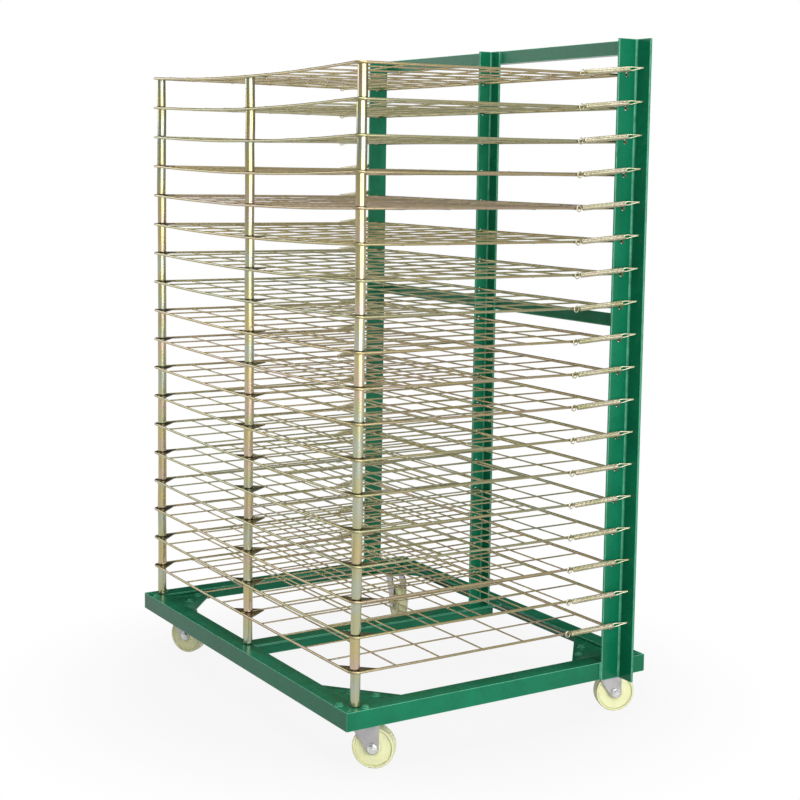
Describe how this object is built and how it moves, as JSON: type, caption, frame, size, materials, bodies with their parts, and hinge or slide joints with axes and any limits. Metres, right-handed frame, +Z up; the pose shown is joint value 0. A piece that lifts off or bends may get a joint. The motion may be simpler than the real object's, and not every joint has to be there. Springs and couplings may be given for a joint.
{
  "type": "art drying rack",
  "caption": "Wheeled drying rack for wet prints: a stack of hinged, spring-balanced wire trays that stand on their own spacer tubes, on an angle-iron frame with casters.",
  "frame": {"origin": "on the floor under the middle of the rack", "axes": "+Z up, -Y to the free front edges of the trays, +Y to the uprights and hinges, +X to the rack's right as seen from the front"},
  "size_m": [0.9426, 0.6583, 1.266],
  "materials": {
    "green_paint": "gloss",
    "zinc_wire": "yellow passivated zinc",
    "spring_steel": "satin",
    "pressed_steel": "bright zinc",
    "cream_nylon": "satin"
  },
  "bodies": {
    "frame": {"base_front_beam": "green_paint", "base_back_beam": "green_paint", "base_right_beam": "green_paint", "base_left_beam": "green_paint", "base_middle_beam": "green_paint", "upright_right": "green_paint", "upright_left": "green_paint", "upright_middle": "green_paint", "top_rail": "green_paint", "tie_rail": "green_paint", "corner_plate_front_right": "green_paint", "corner_plate_back_right": "green_paint", "corner_plate_front_left": "green_paint", "corner_plate_back_left": "green_paint", "spring_right_01": "spring_steel", "spring_right_02": "spring_steel", "spring_right_03": "spring_steel", "spring_right_04": "spring_steel", "spring_right_05": "spring_steel", "spring_right_06": "spring_steel", "spring_right_07": "spring_steel", "spring_right_08": "spring_steel", "spring_right_09": "spring_steel", "spring_right_10": "spring_steel", "spring_right_11": "spring_steel", "spring_right_12": "spring_steel", "spring_right_13": "spring_steel", "spring_right_14": "spring_steel", "spring_right_15": "spring_steel", "spring_right_16": "spring_steel", "spring_right_17": "spring_steel", "spring_right_18": "spring_steel"},
    "fork_front_right": {"caster_fork_front_right": "pressed_steel"},
    "wheel_front_right": {"caster_wheel_front_right": "cream_nylon"},
    "fork_back_right": {"caster_fork_back_right": "pressed_steel"},
    "wheel_back_right": {"caster_wheel_back_right": "cream_nylon"},
    "fork_front_left": {"caster_fork_front_left": "pressed_steel"},
    "wheel_front_left": {"caster_wheel_front_left": "cream_nylon"},
    "fork_back_left": {"caster_fork_back_left": "pressed_steel"},
    "wheel_back_left": {"caster_wheel_back_left": "cream_nylon"},
    "tray_01": {"tray_01": "zinc_wire"},
    "tray_02": {"tray_02": "zinc_wire"},
    "tray_03": {"tray_03": "zinc_wire"},
    "tray_04": {"tray_04": "zinc_wire"},
    "tray_05": {"tray_05": "zinc_wire"},
    "tray_06": {"tray_06": "zinc_wire"},
    "tray_07": {"tray_07": "zinc_wire"},
    "tray_08": {"tray_08": "zinc_wire"},
    "tray_09": {"tray_09": "zinc_wire"},
    "tray_10": {"tray_10": "zinc_wire"},
    "tray_11": {"tray_11": "zinc_wire"},
    "tray_12": {"tray_12": "zinc_wire"},
    "tray_13": {"tray_13": "zinc_wire"},
    "tray_14": {"tray_14": "zinc_wire"},
    "tray_15": {"tray_15": "zinc_wire"},
    "tray_16": {"tray_16": "zinc_wire"},
    "tray_17": {"tray_17": "zinc_wire"},
    "tray_18": {"tray_18": "zinc_wire"}
  },
  "joints": [
    {"name": "swivel_front_right", "type": "hinge", "parent": "frame", "child": "fork_front_right", "pos_m": [0.378, -0.2745, 0.1], "axis": [0, 0, 1], "continuous": true},
    {"name": "roll_front_right", "type": "hinge", "parent": "fork_front_right", "child": "wheel_front_right", "pos_m": [0.39846, -0.25256, 0.0375], "axis": [-0.7314, 0.682, 0], "continuous": true},
    {"name": "swivel_back_right", "type": "hinge", "parent": "frame", "child": "fork_back_right", "pos_m": [0.37, 0.2665, 0.1], "axis": [0, 0, 1], "continuous": true},
    {"name": "roll_back_right", "type": "hinge", "parent": "fork_back_right", "child": "wheel_back_right", "pos_m": [0.3822, 0.29391, 0.0375], "axis": [-0.9135, 0.4067, 0], "continuous": true},
    {"name": "swivel_front_left", "type": "hinge", "parent": "frame", "child": "fork_front_left", "pos_m": [-0.378, -0.2745, 0.1], "axis": [0, 0, 1], "continuous": true},
    {"name": "roll_front_left", "type": "hinge", "parent": "fork_front_left", "child": "wheel_front_left", "pos_m": [-0.35256, -0.2586, 0.0375], "axis": [-0.5299, 0.848, 0], "continuous": true},
    {"name": "swivel_back_left", "type": "hinge", "parent": "frame", "child": "fork_back_left", "pos_m": [-0.37, 0.2665, 0.1], "axis": [0, 0, 1], "continuous": true},
    {"name": "roll_back_left", "type": "hinge", "parent": "fork_back_left", "child": "wheel_back_left", "pos_m": [-0.34116, 0.25823, 0.0375], "axis": [0.2756, 0.9613, 0], "continuous": true},
    {"name": "lift_01", "type": "hinge", "parent": "frame", "child": "tray_01", "pos_m": [0, 0.2395, 0.182], "axis": [-1, 0, 0], "range_deg": [0, 45], "deforming": ["spring_right_01"]},
    {"name": "lift_02", "type": "hinge", "parent": "frame", "child": "tray_02", "pos_m": [0, 0.2395, 0.242], "axis": [-1, 0, 0], "range_deg": [0, 46.26], "deforming": ["spring_right_02"]},
    {"name": "lift_03", "type": "hinge", "parent": "frame", "child": "tray_03", "pos_m": [0, 0.2395, 0.302], "axis": [-1, 0, 0], "range_deg": [0, 47.51], "deforming": ["spring_right_03"]},
    {"name": "lift_04", "type": "hinge", "parent": "frame", "child": "tray_04", "pos_m": [0, 0.2395, 0.362], "axis": [-1, 0, 0], "range_deg": [0, 48.79], "deforming": ["spring_right_04"]},
    {"name": "lift_05", "type": "hinge", "parent": "frame", "child": "tray_05", "pos_m": [0, 0.2395, 0.422], "axis": [-1, 0, 0], "range_deg": [0, 50.11], "deforming": ["spring_right_05"]},
    {"name": "lift_06", "type": "hinge", "parent": "frame", "child": "tray_06", "pos_m": [0, 0.2395, 0.482], "axis": [-1, 0, 0], "range_deg": [0, 51.46], "deforming": ["spring_right_06"]},
    {"name": "lift_07", "type": "hinge", "parent": "frame", "child": "tray_07", "pos_m": [0, 0.2395, 0.542], "axis": [-1, 0, 0], "range_deg": [0, 52.85], "deforming": ["spring_right_07"]},
    {"name": "lift_08", "type": "hinge", "parent": "frame", "child": "tray_08", "pos_m": [0, 0.2395, 0.602], "axis": [-1, 0, 0], "range_deg": [0, 54.28], "deforming": ["spring_right_08"]},
    {"name": "lift_09", "type": "hinge", "parent": "frame", "child": "tray_09", "pos_m": [0, 0.2395, 0.662], "axis": [-1, 0, 0], "range_deg": [0, 55.74], "deforming": ["spring_right_09"]},
    {"name": "lift_10", "type": "hinge", "parent": "frame", "child": "tray_10", "pos_m": [0, 0.2395, 0.722], "axis": [-1, 0, 0], "range_deg": [0, 57.24], "deforming": ["spring_right_10"]},
    {"name": "lift_11", "type": "hinge", "parent": "frame", "child": "tray_11", "pos_m": [0, 0.2395, 0.782], "axis": [-1, 0, 0], "range_deg": [0, 58.79], "deforming": ["spring_right_11"]},
    {"name": "lift_12", "type": "hinge", "parent": "frame", "child": "tray_12", "pos_m": [0, 0.2395, 0.842], "axis": [-1, 0, 0], "range_deg": [0, 60.37], "deforming": ["spring_right_12"]},
    {"name": "lift_13", "type": "hinge", "parent": "frame", "child": "tray_13", "pos_m": [0, 0.2395, 0.902], "axis": [-1, 0, 0], "range_deg": [0, 62], "deforming": ["spring_right_13"]},
    {"name": "lift_14", "type": "hinge", "parent": "frame", "child": "tray_14", "pos_m": [0, 0.2395, 0.962], "axis": [-1, 0, 0], "range_deg": [0, 63.68], "deforming": ["spring_right_14"]},
    {"name": "lift_15", "type": "hinge", "parent": "frame", "child": "tray_15", "pos_m": [0, 0.2395, 1.022], "axis": [-1, 0, 0], "range_deg": [0, 65.39], "deforming": ["spring_right_15"]},
    {"name": "lift_16", "type": "hinge", "parent": "frame", "child": "tray_16", "pos_m": [0, 0.2395, 1.082], "axis": [-1, 0, 0], "range_deg": [0, 67.16], "deforming": ["spring_right_16"]},
    {"name": "lift_17", "type": "hinge", "parent": "frame", "child": "tray_17", "pos_m": [0, 0.2395, 1.142], "axis": [-1, 0, 0], "range_deg": [0, 68.97], "deforming": ["spring_right_17"]},
    {"name": "lift_18", "type": "hinge", "parent": "frame", "child": "tray_18", "pos_m": [0, 0.2395, 1.202], "axis": [-1, 0, 0], "range_deg": [0, 70.83], "deforming": ["spring_right_18"]}
  ],
  "couplings": [
    {"joint": "lift_02", "follows": "lift_01", "ratio": 1.027},
    {"joint": "lift_03", "follows": "lift_01", "ratio": 1.0547},
    {"joint": "lift_04", "follows": "lift_01", "ratio": 1.0832},
    {"joint": "lift_05", "follows": "lift_01", "ratio": 1.1124},
    {"joint": "lift_06", "follows": "lift_01", "ratio": 1.1425},
    {"joint": "lift_07", "follows": "lift_01", "ratio": 1.1733},
    {"joint": "lift_08", "follows": "lift_01", "ratio": 1.205},
    {"joint": "lift_09", "follows": "lift_01", "ratio": 1.2375},
    {"joint": "lift_10", "follows": "lift_01", "ratio": 1.271},
    {"joint": "lift_11", "follows": "lift_01", "ratio": 1.3053},
    {"joint": "lift_12", "follows": "lift_01", "ratio": 1.3405},
    {"joint": "lift_13", "follows": "lift_01", "ratio": 1.3767},
    {"joint": "lift_14", "follows": "lift_01", "ratio": 1.4139},
    {"joint": "lift_15", "follows": "lift_01", "ratio": 1.4521},
    {"joint": "lift_16", "follows": "lift_01", "ratio": 1.4913},
    {"joint": "lift_17", "follows": "lift_01", "ratio": 1.5315},
    {"joint": "lift_18", "follows": "lift_01", "ratio": 1.5729}
  ]
}
